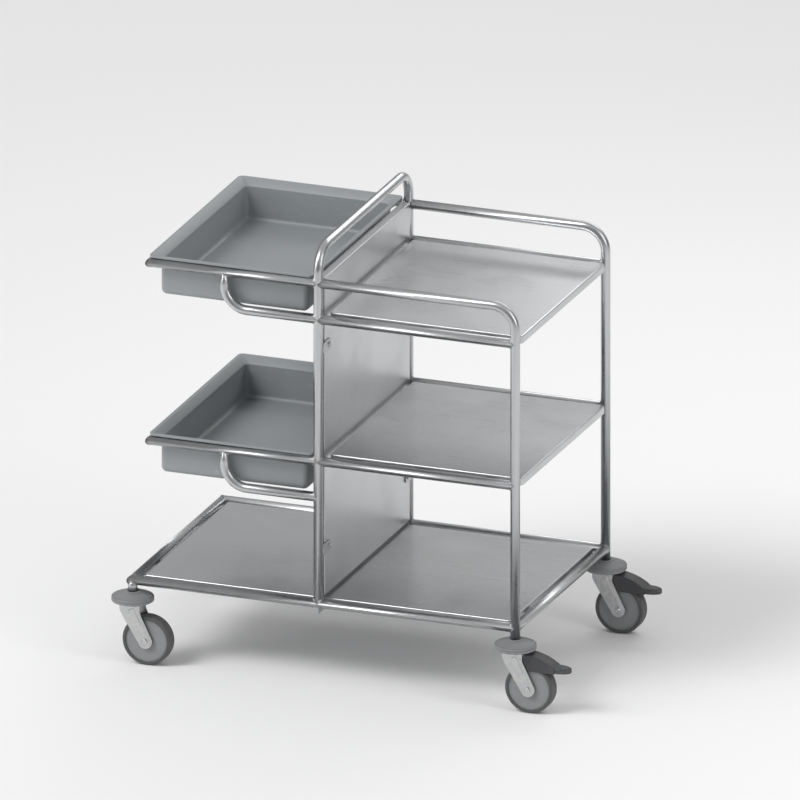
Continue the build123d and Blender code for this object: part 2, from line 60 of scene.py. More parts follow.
archLow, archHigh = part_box("centre_arch")
tubeR = (archHigh.x - archLow.x) / 2
postX = middle("centre_arch").x
frontY, rearY = archLow.y + tubeR, archHigh.y - tubeR
archZ = archHigh.z - tubeR
leftX, baseZ = middle("base_left_rail").x, middle("base_left_rail").z
rightX = middle("base_right_rail").x
tubRailX = middle("lower_tub_left_rail").x
middleZ = middle("lower_tub_left_rail").z
guardZ = middle("upper_tub_left_rail").z
upperZ = middle("upper_shelf_front_rail").z
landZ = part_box("front_guard_post")[0].z
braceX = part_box("upper_front_brace")[0].x + tubeR
braceZs = {tier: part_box(f"{tier}_front_brace")[0].z + tubeR for tier in ("lower", "upper")}
discLow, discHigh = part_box("bumper_discs")
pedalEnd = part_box("front_right_pedal")[1].x
screwLow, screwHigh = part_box("panel_screws")
sideYs = {"front": frontY, "rear": rearY}
corners = ["front_left", "rear_left", "front_right", "rear_right"]
right, left = Vector((1, 0, 0)), Vector((-1, 0, 0))
back, ahead = Vector((0, 1, 0)), Vector((0, -1, 0))
up, down = Vector((0, 0, 1)), Vector((0, 0, -1))


# Shader wiring

class Wire:
    # one socket of a material; arithmetic on it adds Math nodes
    def __init__(self, tree, socket=None):
        self.tree, self.socket = tree, socket

    def node(self, kind, settings=None, sockets=None, output=0):
        made = self.tree.nodes.new("ShaderNode" + kind)
        for key, value in (settings or {}).items():
            setattr(made, key, value)
        for key, value in (sockets or {}).items():
            if isinstance(value, Wire):
                self.tree.links.new(value.socket, made.inputs[key])
            else:
                made.inputs[key].default_value = value
        return Wire(self.tree, made.outputs[output] if made.outputs else None)

    def math(self, operation, first, second):
        return self.node("Math", {"operation": operation}, {0: first, 1: second})

    def __add__(self, other):
        return self.math("ADD", self, other)

    def __radd__(self, other):
        return self.math("ADD", other, self)

    def __sub__(self, other):
        return self.math("SUBTRACT", self, other)

    def __rsub__(self, other):
        return self.math("SUBTRACT", other, self)

    def __mul__(self, other):
        return self.math("MULTIPLY", self, other)

    def __rmul__(self, other):
        return self.math("MULTIPLY", other, self)


def startMaterial(name):
    material = bpy.data.materials.new(name)
    material.use_nodes = True
    material.node_tree.nodes.clear()
    return material, Wire(material.node_tree)


def closeMaterial(material, wire, sockets):
    shader = wire.node("BsdfPrincipled", sockets=sockets)
    wire.node("OutputMaterial", sockets={"Surface": shader})
    return material


def objectCoords(wire):
    return wire.node("TexCoord", output="Object")


def axisPart(at, axis):
    return at.node("SeparateXYZ", sockets={"Vector": at}, output=axis)


def stretch(at, factors):
    return at.node("VectorMath", {"operation": "MULTIPLY"}, {0: at, 1: factors})


def fade(value, low, high):
    return value.node(
        "MapRange",
        {"interpolation_type": "SMOOTHSTEP"},
        {"Value": value, "From Min": low, "From Max": high},
    )


def noise(at, scale=1.0, detail=3.0, roughness=0.55, rates=None):
    # rates make the pattern finer on some axes than on others
    spot = stretch(at, rates) if rates else at
    return at.node(
        "TexNoise",
        sockets={"Vector": spot, "Scale": scale, "Detail": detail, "Roughness": roughness},
    )


def patches(at, edges, **pattern):
    # a mask from noise: none below the first edge, full above the second
    return fade(noise(at, **pattern), *edges)


def ripple(value, rate):
    return value.math("SINE", value * rate, 0.0) * 0.5 + 0.5


def mouldGrain(at, scale, smoothness):
    return at.node(
        "TexVoronoi",
        {"feature": "SMOOTH_F1"},
        {"Vector": at, "Scale": scale, "Smoothness": smoothness},
    )


def tint(mask, low, high):
    return mask.node("Mix", {"data_type": "RGBA"}, {0: mask, 6: low, 7: high}, output=2)


def shade(tone, factor):
    return (*(min(1.0, value * factor) for value in tone[:3]), 1)


def varied(mask, tone, low, high):
    return tint(mask, shade(tone, low), shade(tone, high))


def bump(height, strength, depth):
    return height.node("Bump", sockets={"Strength": strength, "Distance": depth, "Height": height})


# Brushed steel for the tubes, sheets and brackets: streaks along the grain, faint hand marks over them
steelLook = {
    "tone": (0.55, 0.556, 0.565, 1),
    "streakTone": 0.05,
    "roughness": 0.27,
    "streakRough": 0.09,
    "smudgeRough": 0.10,
    "tube": [  # fine streaks, then broad ones
        {"along": 9, "across": 30, "detail": 4.0, "roughness": 0.65},
        {"along": 3, "across": 5, "detail": 3.0, "roughness": 0.6},
    ],
    "sheet": [
        {"along": 9, "across": 900, "detail": 4.0, "roughness": 0.65},
        {"along": 2.5, "across": 420, "detail": 4.0, "roughness": 0.6},
    ],
    "fineShare": 0.5,
    "streakEdges": (0.20, 0.80),
    "smudges": {"edges": (0.42, 0.72), "scale": 7.0, "detail": 4.0, "roughness": 0.6},
    "bump": (0.10, 0.00012),  # strength and depth, here and in the other looks
}


def streaks(at, grain, along, across, **pattern):
    return noise(at, rates=[along if axis == grain else across for axis in "XYZ"], **pattern)


def brushedSteel(name, form, grain, tone=1.0, roughness=0.0):
    # the tubes carry their own coordinates, with Z along the run
    look = steelLook
    material, wire = startMaterial(name)
    place = objectCoords(wire)
    at = place
    if form == "tube":
        at = wire.node("Attribute", {"attribute_name": "grainCoord"}, output="Vector")
    fine, broad = (streaks(at, grain, **pattern) for pattern in look[form])
    streak = fade(fine * look["fineShare"] + broad * (1 - look["fineShare"]), *look["streakEdges"])
    smudge = patches(place, **look["smudges"])
    spread = look["streakTone"]
    rough = look["roughness"] + roughness
    return closeMaterial(material, wire, {
        "Base Color": varied(streak, look["tone"], tone * (1 - spread), tone * (1 + spread)),
        "Metallic": 1.0,
        "Roughness": rough + (streak - 0.5) * look["streakRough"] + smudge * look["smudgeRough"],
        "Normal": bump(fine, *look["bump"]),
    })


# Weld beads: duller than the tubes, with a straw heat tint that comes and goes
weldLook = {
    "tone": (0.50, 0.50, 0.505, 1),
    "heatTone": (0.47, 0.41, 0.33, 1),
    "heat": {"edges": (0.45, 0.75), "scale": 60.0, "detail": 2.0},
    "heatShare": 0.6,
    "roughness": 0.34,
    "grit": {"scale": 900.0, "detail": 2.0},
    "gritRough": 0.14,
    "bump": (0.12, 0.0002),
}


def weldSteel():
    look = weldLook
    material, wire = startMaterial("weldSteel")
    at = objectCoords(wire)
    heat = patches(at, **look["heat"])
    grit = noise(at, **look["grit"])
    return closeMaterial(material, wire, {
        "Base Color": tint(heat * look["heatShare"], look["tone"], look["heatTone"]),
        "Metallic": 1.0,
        "Roughness": look["roughness"] + grit * look["gritRough"],
        "Normal": bump(grit, *look["bump"]),
    })


# Moulded tub plastic: fine spark grain, a little cloudiness, and slide marks on the floor and the rim
tubLook = {
    "tone": (0.30, 0.32, 0.33, 1),
    "toneRange": (0.94, 1.05),
    "cloud": {"scale": 9.0, "detail": 4.0, "roughness": 0.6},
    "markTone": (0.47, 0.485, 0.49, 1),
    "longMarks": {"edges": (0.60, 0.74), "rates": (26, 260, 120), "detail": 4.0, "roughness": 0.7},
    "crossMarks": {"edges": (0.62, 0.76), "rates": (240, 22, 120), "detail": 4.0, "roughness": 0.7},
    "markFields": {"edges": (0.38, 0.60), "scale": 5.0},
    "markShare": 0.7,
    "roughness": 0.40,
    "cloudRough": 0.10,
    "markRough": 0.16,
    "grain": (950.0, 0.5),  # scale and smoothness
    "bump": (0.16, 0.0003),
}


def tubPlastic():
    look = tubLook
    material, wire = startMaterial("tubPlastic")
    at = objectCoords(wire)
    cloud = noise(at, **look["cloud"])
    marks = patches(at, **look["longMarks"]) + patches(at, **look["crossMarks"])
    worn = marks * patches(at, **look["markFields"]) * look["markShare"]
    colour = varied(cloud, look["tone"], *look["toneRange"])
    return closeMaterial(material, wire, {
        "Base Color": tint(worn, colour, look["markTone"]),
        "Roughness": look["roughness"] + (cloud - 0.5) * look["cloudRough"] + worn * look["markRough"],
        "Normal": bump(mouldGrain(at, *look["grain"]), *look["bump"]),
    })


# Bright zinc plate on the castor forks, bolts and small fittings
zincLook = {
    "cool": (0.52, 0.53, 0.55, 1),
    "warm": (0.60, 0.60, 0.585, 1),
    "cloud": {"edges": (0.30, 0.68), "scale": 55.0, "detail": 5.0, "roughness": 0.65},
    "rubs": {"edges": (0.42, 0.70), "rates": (420, 420, 45), "detail": 4.0, "roughness": 0.65},
    "roughness": 0.20,
    "cloudRough": 0.08,
    "rubRough": 0.10,
    "grit": {"scale": 1500.0, "detail": 2.0},
    "rubHeight": 0.6,
    "bump": (0.12, 0.00015),
}


def zincPlate(name, shift=0.0):
    look = zincLook
    material, wire = startMaterial(name)
    at = objectCoords(wire)
    cloud = patches(at, **look["cloud"])
    rub = patches(at, **look["rubs"])
    grit = noise(at, **look["grit"])
    return closeMaterial(material, wire, {
        "Base Color": tint(cloud, look["cool"], look["warm"]),
        "Metallic": 1.0,
        "Roughness": look["roughness"] + shift + cloud * look["cloudRough"] + rub * look["rubRough"],
        "Normal": bump(grit + rub * look["rubHeight"], *look["bump"]),
    })


# Moulded plastics: a fine grain, slight mottling, and pale scuffs where they are knocked
mouldLook = {
    "toneRange": (0.86, 1.14),
    "mottle": {"scale": 24.0, "detail": 4.0, "roughness": 0.6},
    "mottleRough": 0.12,
    "scuffRough": 0.15,
    "grainSmoothness": 0.6,
    "bump": (0.16, 0.0003),
}


def mouldedPlastic(name, look, scuffsAt):
    material, wire = startMaterial(name)
    at = objectCoords(wire)
    mottle = noise(at, **mouldLook["mottle"])
    scuffs = scuffsAt(at)
    rough = look["roughness"] + (mottle - 0.5) * mouldLook["mottleRough"]
    colour = varied(mottle, look["tone"], *mouldLook["toneRange"])
    grain = mouldGrain(at, look["grainScale"], mouldLook["grainSmoothness"])
    return closeMaterial(material, wire, {
        "Base Color": tint(scuffs, colour, look["scuffTone"]),
        "Roughness": rough + scuffs * mouldLook["scuffRough"],
        "Normal": bump(grain, *mouldLook["bump"]),
    })


bumperLook = {
    "tone": (0.235, 0.238, 0.245, 1),
    "scuffTone": (0.46, 0.46, 0.46, 1),
    "roughness": 0.50,
    "grainScale": 900.0,
    "scuffs": {"edges": (0.48, 0.66), "rates": (110, 110, 420), "detail": 5.0, "roughness": 0.75},
    "scuffShare": 0.5,
    "scuffHeights": (0.0045, 0.0095),  # over the underside: full up to the first, none past the second
}


def discScuffs(at):
    look = bumperLook
    edge = 1 - fade(axisPart(at, "Z"), *(discLow.z + height for height in look["scuffHeights"]))
    return edge * patches(at, **look["scuffs"]) * look["scuffShare"]


pedalLook = {
    "tone": (0.052, 0.053, 0.056, 1),
    "scuffTone": (0.16, 0.16, 0.16, 1),
    "roughness": 0.48,
    "grainScale": 1000.0,
    "scuffs": {"edges": (0.40, 0.68), "rates": (260, 90, 260), "detail": 6.0, "roughness": 0.75},
    "footFrom": (0.075, 0.010),  # back from the pedal's end: where the foot plate's wear starts and is full
    "footShare": 0.55,
    "restShare": 0.08,
}


def pedalScuffs(at):
    # shoes wear the foot plate most
    look = pedalLook
    foot = fade(axisPart(at, "X"), *(pedalEnd - distance for distance in look["footFrom"]))
    return (foot * look["footShare"] + look["restShare"]) * patches(at, **look["scuffs"])


def wheelCoords(wire, node):
    # place and distance from the axle of a wheel's node, and its radius
    low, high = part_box(node)
    at = wire.node(
        "Mapping",
        {"vector_type": "POINT"},
        {"Vector": objectCoords(wire), "Location": -(low + high) / 2},
    )
    flat = stretch(at, (1, 0, 1))
    reach = flat.node("VectorMath", {"operation": "LENGTH"}, {0: flat}, output="Value")
    return at, reach, (high.z - low.z) / 2


# Grey non-marking rubber, with dust on the tread and fine turning lines; one per wheel, about its axle
tyreLook = {
    "tone": (0.085, 0.086, 0.089, 1),
    "toneRange": (0.88, 1.12),
    "mottle": {"scale": 110.0, "detail": 5.0, "roughness": 0.7},
    "dustTone": (0.185, 0.180, 0.172, 1),
    "dust": {"edges": (0.36, 0.66), "scale": 420.0, "detail": 6.0, "roughness": 0.75},
    "treadEdges": (0.955, 0.995),  # shares of the radius
    "treadDust": 0.6,
    "sideDust": 0.12,
    "roughness": 0.62,
    "treadRough": 0.14,
    "dustRough": 0.06,
    "lineRate": 5200.0,
    "grit": {"scale": 900.0, "detail": 2.0},
    "gritHeight": 0.6,
    "bump": (0.22, 0.0002),
}


def tyreRubber(corner):
    look = tyreLook
    material, wire = startMaterial(camelName(corner) + "TyreRubber")
    at, reach, wheelR = wheelCoords(wire, corner + "_tyre")
    tread = fade(reach, *(wheelR * share for share in look["treadEdges"]))
    dust = patches(at, **look["dust"])
    lines = ripple(axisPart(at, "Y"), look["lineRate"])
    colour = varied(noise(at, **look["mottle"]), look["tone"], *look["toneRange"])
    return closeMaterial(material, wire, {
        "Base Color": tint((tread * look["treadDust"] + look["sideDust"]) * dust, colour, look["dustTone"]),
        "Roughness": look["roughness"] + tread * look["treadRough"] + dust * look["dustRough"],
        "Normal": bump(lines * tread + noise(at, **look["grit"]) * look["gritHeight"], *look["bump"]),
    })


# Moulded hubs: faint turning rings, and grime that gathers against the tyre and round the boss
hubLook = {
    "tone": (0.265, 0.27, 0.275, 1),
    "toneRange": (0.92, 1.08),
    "cloud": {"scale": 60.0, "detail": 4.0, "roughness": 0.6},
    "speck": {"scale": 300.0, "detail": 5.0, "roughness": 0.7},
    "grimeTone": (0.15, 0.147, 0.14, 1),
    "rimEdges": (0.86, 1.0),  # shares of the radius
    "bossEdges": (0.30, 0.42),
    "grimeEdges": (0.38, 0.62),
    "cloudShare": 0.6,
    "grimeShare": 0.6,
    "roughness": 0.44,
    "grimeRough": 0.2,
    "speckRough": 0.10,
    "ringRate": 4200.0,
    "ringHeight": 0.5,
    "bump": (0.12, 0.0002),
}


def hubPlastic(corner):
    look = hubLook
    material, wire = startMaterial(camelName(corner) + "HubPlastic")
    at, reach, hubR = wheelCoords(wire, corner + "_wheel_hub")
    speck = noise(at, **look["speck"])
    cloud = noise(at, **look["cloud"])
    rim = fade(reach, *(hubR * share for share in look["rimEdges"]))
    boss = 1 - fade(reach, *(hubR * share for share in look["bossEdges"]))
    blotches = fade(cloud * look["cloudShare"] + speck * (1 - look["cloudShare"]), *look["grimeEdges"])
    grime = (rim + boss) * blotches * look["grimeShare"]
    colour = varied(cloud, look["tone"], *look["toneRange"])
    return closeMaterial(material, wire, {
        "Base Color": tint(grime, colour, look["grimeTone"]),
        "Roughness": look["roughness"] + grime * look["grimeRough"] + (speck - 0.5) * look["speckRough"],
        "Normal": bump(ripple(reach, look["ringRate"]) * look["ringHeight"] + speck, *look["bump"]),
    })


tubeSteel = brushedSteel("tubeSteel", "tube", "Z")
shelfSteel = brushedSteel("shelfSteel", "sheet", "X", tone=1.06, roughness=0.02)
panelSteel = brushedSteel("panelSteel", "sheet", "Z", tone=1.04, roughness=0.03)
bracketSteel = brushedSteel("bracketSteel", "sheet", "Y", tone=0.94, roughness=0.08)
tubFinish = tubPlastic()
weldFinish = weldSteel()
castorZinc = zincPlate("castorZinc")
fastenerZinc = zincPlate("fastenerZinc", shift=-0.06)
bumperPlastic = mouldedPlastic("bumperPlastic", bumperLook, discScuffs)
pedalPlastic = mouldedPlastic("pedalPlastic", pedalLook, pedalScuffs)
print("materials ready")


# What the pieces share
mergeDist = 1e-6


def settle(name, bm, material, body, nodes=()):
    # turns a finished bmesh into a piece that rides on a body
    mesh = bpy.data.meshes.new(name)
    bm.to_mesh(mesh)
    bm.free()
    mesh.materials.append(material)
    piece = bpy.data.objects.new(name, mesh)
    bpy.context.scene.collection.objects.link(piece)
    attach(piece, body)
    if nodes:
        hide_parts(*nodes)


def ringParts(geom):
    verts = [item for item in geom if isinstance(item, bmesh.types.BMVert)]
    edges = [item for item in geom if isinstance(item, bmesh.types.BMEdge)]
    return verts, edges


def growLoop(bm, loop):
    # extrudes an open end in place, and gives its new points and its new edge loop
    verts, edges = ringParts(bmesh.ops.extrude_edge_only(bm, edges=loop)["geom"])
    return verts, [edge for edge in edges if edge.verts[0] in verts and edge.verts[1] in verts]


def arc(centre, radius, start, end, steps):
    # points of a rounded edge in a section
    spots = []
    for step in range(steps + 1):
        turn = math.radians(start + (end - start) * step / steps)
        spots.append((centre[0] + radius * math.cos(turn), centre[1] + radius * math.sin(turn)))
    return spots


# Frame tubes: a ring drawn along its runs, spun round its bends, and cut to sit on the tube that it meets
tubeShape = {"sides": 48, "bendR": 0.0575, "bendSteps": 16, "cutReach": 2 * tubeR, "cutDist": 1e-7}


def cutBack(bm, spot, keep):
    # takes off what lies behind the plane at one end of the tube, and closes the cut
    reach = tubeShape["cutReach"]
    faces = [face for face in bm.faces if any((vert.co - spot).length < reach for vert in face.verts)]
    edges = dict.fromkeys(edge for face in faces for edge in face.edges)
    verts = dict.fromkeys(vert for face in faces for vert in face.verts)
    made = bmesh.ops.bisect_plane(
        bm, geom=[*verts, *edges, *faces], dist=tubeShape["cutDist"], plane_co=spot, plane_no=-keep,
        clear_outer=True,
    )["geom_cut"]
    rim = [edge for edge in ringParts(made)[1] if edge.is_boundary]
    bmesh.ops.edgeloop_fill(bm, edges=rim)


def layTube(node, route, saddles=(), miters=()):
    bm = bmesh.new()
    grain = bm.verts.layers.float_vector.new("grainCoord")
    route = [Vector(point) for point in route]
    runs = [(after - before).normalized() for before, after in zip(route, route[1:])]
    bendR = tubeShape["bendR"]
    bendTurn = math.pi / 2 / tubeShape["bendSteps"]
    ring = bmesh.ops.create_circle(bm, segments=tubeShape["sides"], radius=tubeR)["verts"]
    for vert in ring:
        vert[grain] = (vert.co.x / tubeR, vert.co.y / tubeR, 0.0)
    turn = up.rotation_difference(runs[0]).to_matrix().to_4x4()
    bmesh.ops.transform(bm, matrix=Matrix.Translation(route[0]) @ turn, verts=ring)
    loop = bm.edges[:]
    bmesh.ops.edgeloop_fill(bm, edges=loop)
    travelled = 0.0

    def markRun(verts):
        for vert in verts:
            vert[grain] = (vert[grain][0], vert[grain][1], travelled)

    for step, run in enumerate(runs):
        last = step == len(runs) - 1
        length = (route[step + 1] - route[step]).length - bendR * ((step > 0) + (not last))
        verts, loop = growLoop(bm, loop)
        bmesh.ops.translate(bm, verts=verts, vec=run * length)
        travelled += length
        markRun(verts)
        if last:
            continue
        toNext = runs[step + 1]
        centre = route[step + 1] - run * bendR + toNext * bendR
        for _ in range(tubeShape["bendSteps"]):
            made = bmesh.ops.spin(
                bm, geom=loop, cent=centre, axis=run.cross(toNext), steps=1, angle=bendTurn
            )["geom_last"]
            verts, loop = ringParts(made)
            travelled += bendR * bendTurn
            markRun(verts)
    bmesh.ops.edgeloop_fill(bm, edges=loop)
    bmesh.ops.recalc_face_normals(bm, faces=bm.faces)
    for spot, keep in miters:
        cutBack(bm, Vector(spot), keep.normalized())
    for spot, branch, main in saddles:
        # two equal tubes meet on two half ellipses, at 45 degrees to both
        for side in (1, -1):
            cutBack(bm, Vector(spot), (branch + main * side).normalized())
    bmesh.ops.recalc_face_normals(bm, faces=bm.faces)
    for face in bm.faces:
        face.smooth = len(face.verts) == 4
    settle(camelName(node), bm, tubeSteel, "frame", [node])


tees = []  # where a tube end is welded onto another: spot, branch direction, main direction
angles = []  # where two tubes are mitred: spot, first direction, second direction

for side, y in sideYs.items():
    inward = back if side == "front" else ahead
    post, rightPost = (postX, y), (rightX, y)

    leftCorner = (leftX, y, baseZ)
    layTube(
        f"base_{side}_rail", [(leftX - tubeR, y, baseZ), (rightX, y, baseZ)],
        saddles=[((*rightPost, baseZ), left, up)], miters=[(leftCorner, right - inward)],
    )
    tees += [((*rightPost, baseZ), left, up), ((*rightPost, baseZ), inward, up)]
    angles.append((leftCorner, right, inward))

    layTube(
        f"{side}_guard_post", [(*post, guardZ), (*rightPost, guardZ), (*rightPost, landZ)],
        saddles=[((*post, guardZ), right, up)],
    )
    tees += [((*post, guardZ), right, up), ((*post, baseZ), up, right)]

    for tier, z in (("middle", middleZ), ("upper", upperZ)):
        layTube(
            f"{tier}_shelf_{side}_rail", [(*post, z), (*rightPost, z)],
            saddles=[((*post, z), right, up), ((*rightPost, z), left, up)],
        )
        tees += [((*post, z), right, up), ((*rightPost, z), left, up)]

    for tier, z in (("lower", middleZ), ("upper", guardZ)):
        tubCorner = (tubRailX, y, z)
        layTube(
            f"{tier}_tub_{side}_rail", [(tubRailX - tubeR, y, z), (*post, z)],
            saddles=[((*post, z), left, up)], miters=[(tubCorner, right - inward)],
        )
        tees.append(((*post, z), left, up))
        angles.append((tubCorner, right, inward))
        low = braceZs[tier]
        layTube(
            f"{tier}_{side}_brace", [(braceX, y, z), (braceX, y, low), (*post, low)],
            saddles=[((braceX, y, z), down, right), ((*post, low), left, up)],
        )
        tees += [((braceX, y, z), down, right), ((*post, low), left, up)]

    layTube(f"{side}_left_leg", [(leftX, y, landZ), leftCorner])

for node, x, z in (
    ("base_left_rail", leftX, baseZ),
    ("lower_tub_left_rail", tubRailX, middleZ),
    ("upper_tub_left_rail", tubRailX, guardZ),
):
    layTube(
        node, [(x, frontY - tubeR, z), (x, rearY + tubeR, z)],
        miters=[((x, frontY, z), left + back), ((x, rearY, z), left + ahead)],
    )
layTube(
    "base_right_rail", [(rightX, frontY, baseZ), (rightX, rearY, baseZ)],
    saddles=[((rightX, frontY, baseZ), back, up), ((rightX, rearY, baseZ), ahead, up)],
)
layTube(
    "centre_arch",
    [(postX, frontY, baseZ), (postX, frontY, archZ), (postX, rearY, archZ), (postX, rearY, baseZ)],
    saddles=[((postX, frontY, baseZ), up, right), ((postX, rearY, baseZ), up, right)],
)
print("tubes laid,", len(tees), "tee joints and", len(angles), "mitres")


# Weld beads, one closed line round each joint, with the ripple of the torch
beadShape = {"points": 96, "radius": 0.0016, "thin": 0.45, "ripple": 0.16, "roundness": 2, "proud": 0.0001}


def beadLine(curve, points, widths):
    spline = curve.splines.new("POLY")
    spline.points.add(len(points) - 1)
    for spot, (point, width) in enumerate(zip(points, widths)):
        spline.points[spot].co = (*point, 1)
        spline.points[spot].radius = width * (1 - beadShape["ripple"] * (spot % 2))
    spline.use_cyclic_u = True


def layBeads(name, sideY):
    curve = bpy.data.curves.new(name, "CURVE")
    curve.dimensions = "3D"
    curve.bevel_depth = beadShape["radius"]
    curve.bevel_resolution = beadShape["roundness"]
    reach = tubeR + beadShape["proud"]
    thin = beadShape["thin"]
    turns = [2 * math.pi * step / beadShape["points"] for step in range(beadShape["points"])]
    for spot, branch, main in tees:
        if abs(spot[1] - sideY) > tubeR:
            continue
        side = branch.cross(main)
        points = []
        for turn in turns:
            across, along = math.sin(turn), math.cos(turn)
            points.append(Vector(spot) + reach * (main * along + side * across + branch * abs(along)))
        beadLine(curve, points, [thin + (1 - thin) * abs(math.cos(turn)) for turn in turns])
    for spot, first, second in angles:
        if abs(spot[1] - sideY) > tubeR:
            continue
        # the mitre's ellipse: round in height, stretched along the corner's diagonal
        diagonal = first + second
        points = [Vector(spot) + reach * (diagonal * math.cos(turn) + up * math.sin(turn)) for turn in turns]
        beadLine(curve, points, [thin + (1 - thin) * max(0.0, math.cos(turn)) for turn in turns])
    # the leg under the base frame's mitred corner
    corner = Vector((leftX, sideY, baseZ))
    inward = 1 if sideY < 0 else -1
    points = []
    for turn in turns:
        x, y = math.cos(turn), math.sin(turn)
        drop = abs(x) if x > inward * y else abs(y)
        points.append(corner + reach * Vector((x, y, -drop)))
    beadLine(curve, points, [1.0] * len(points))

    holder = bpy.data.objects.new(name + "Line", curve)
    bpy.context.scene.collection.objects.link(holder)
    graph = bpy.context.evaluated_depsgraph_get()
    mesh = bpy.data.meshes.new_from_object(holder.evaluated_get(graph))
    bpy.data.objects.remove(holder)
    bm = bmesh.new()
    bm.from_mesh(mesh)
    bpy.data.meshes.remove(mesh)
    bmesh.ops.remove_doubles(bm, verts=bm.verts, dist=mergeDist)
    bmesh.ops.recalc_face_normals(bm, faces=bm.faces)
    for face in bm.faces:
        face.smooth = True
    settle(name, bm, weldFinish, "frame")


for side, y in sideYs.items():
    layBeads(side + "WeldBeads", y)
print("weld beads laid")


# Panel screws: domed heads with a six-sided socket
screwShape = {
    "headR": 0.006,
    "headH": 0.0036,
    "domeShare": 0.55,  # how much of the head's radius and height is round
    "domeSteps": 6,
    "shankR": 0.003,
    "socketR": 0.0021,
    "socketDepth": 0.0019,
    "sides": 36,
}


def domeSection():
    # reach and height of the head's loops, from its edge up to the socket's mouth
    dome, steps = screwShape["domeShare"], screwShape["domeSteps"]
    spots = arc((1 - dome, 1 - dome), dome, 0, 90, steps)
    return [(screwShape["headR"] * reach, screwShape["headH"] * level) for reach, level in spots]


def addScrew(bm, spot):
    # built standing on +Z at the origin, then laid along +X with its head's seat at the spot
    shape = screwShape
    shank = screwHigh.x - screwLow.x - shape["headH"]
    start = bmesh.ops.create_circle(bm, segments=shape["sides"], radius=shape["shankR"])["verts"]
    made = list(start)
    bmesh.ops.translate(bm, verts=start, vec=(0, 0, -shank))
    loop = list(dict.fromkeys(edge for vert in start for edge in vert.link_edges))
    bmesh.ops.edgeloop_fill(bm, edges=loop)
    reach, level = shape["shankR"], -shank
    for nextReach, nextLevel in [(shape["shankR"], 0.0), (shape["headR"], 0.0), *domeSection()]:
        verts, loop = growLoop(bm, loop)
        bmesh.ops.scale(bm, verts=verts, vec=(nextReach / reach, nextReach / reach, 1))
        bmesh.ops.translate(bm, verts=verts, vec=(0, 0, nextLevel - level))
        made += verts
        reach, level = nextReach, nextLevel
    sixth = math.pi / 3
    for drop in (0.0, shape["socketDepth"]):
        verts, loop = growLoop(bm, loop)
        for vert in verts:
            turn = math.atan2(vert.co.y, vert.co.x)
            offset = (turn + sixth / 2) % sixth - sixth / 2
            size = shape["socketR"] / math.cos(offset) / vert.co.xy.length
            vert.co = (vert.co.x * size, vert.co.y * size, level - drop)
        made += verts
    bmesh.ops.edgeloop_fill(bm, edges=loop)
    lay = Matrix.Translation(spot) @ Matrix.Rotation(math.pi / 2, 4, "Y")
    bmesh.ops.transform(bm, matrix=lay, verts=made)


screws = bmesh.new()
for y in (screwLow.y + screwShape["headR"], screwHigh.y - screwShape["headR"]):
    for z in (screwLow.z + screwShape["headR"], screwHigh.z - screwShape["headR"]):
        addScrew(screws, Vector((screwHigh.x - screwShape["headH"], y, z)))
bmesh.ops.recalc_face_normals(screws, faces=screws.faces)
settle("panelScrewHeads", screws, fastenerZinc, "frame", ["panel_screws"])
print("screws made")


# Tubs: one closed skin, drawn loop by loop from the floor, over the rim and back underneath
tubShape = {
    "wall": 0.004,
    "wallInset": 0.025,
    "flat": 0.0077,
    "sheet": 0.0018,
    "lip": 0.0055,
    "funnelDrop": 0.0153,
    "funnelTop": 0.004983,
    "rimR": 0.0125,
    "cornerR": 0.0106,
    "floorR": 0.010,
    "edgeR": 0.0007,
    "footEase": 0.0016,  # how far the wall's bend into the funnel reaches, then its middle point
    "footMid": (0.0005, 0.0002),  # down the wall, up the funnel
    "topEase": 0.0011,  # the same at the funnel's upper edge
    "topMid": (0.0002, 0.0003),  # down the funnel, along the rim
    "underEase": 0.0004,
    "floorSteps": 8,
    "rimSteps": 4,
    "lipSteps": 3,
    "cornerSteps": 12,
}


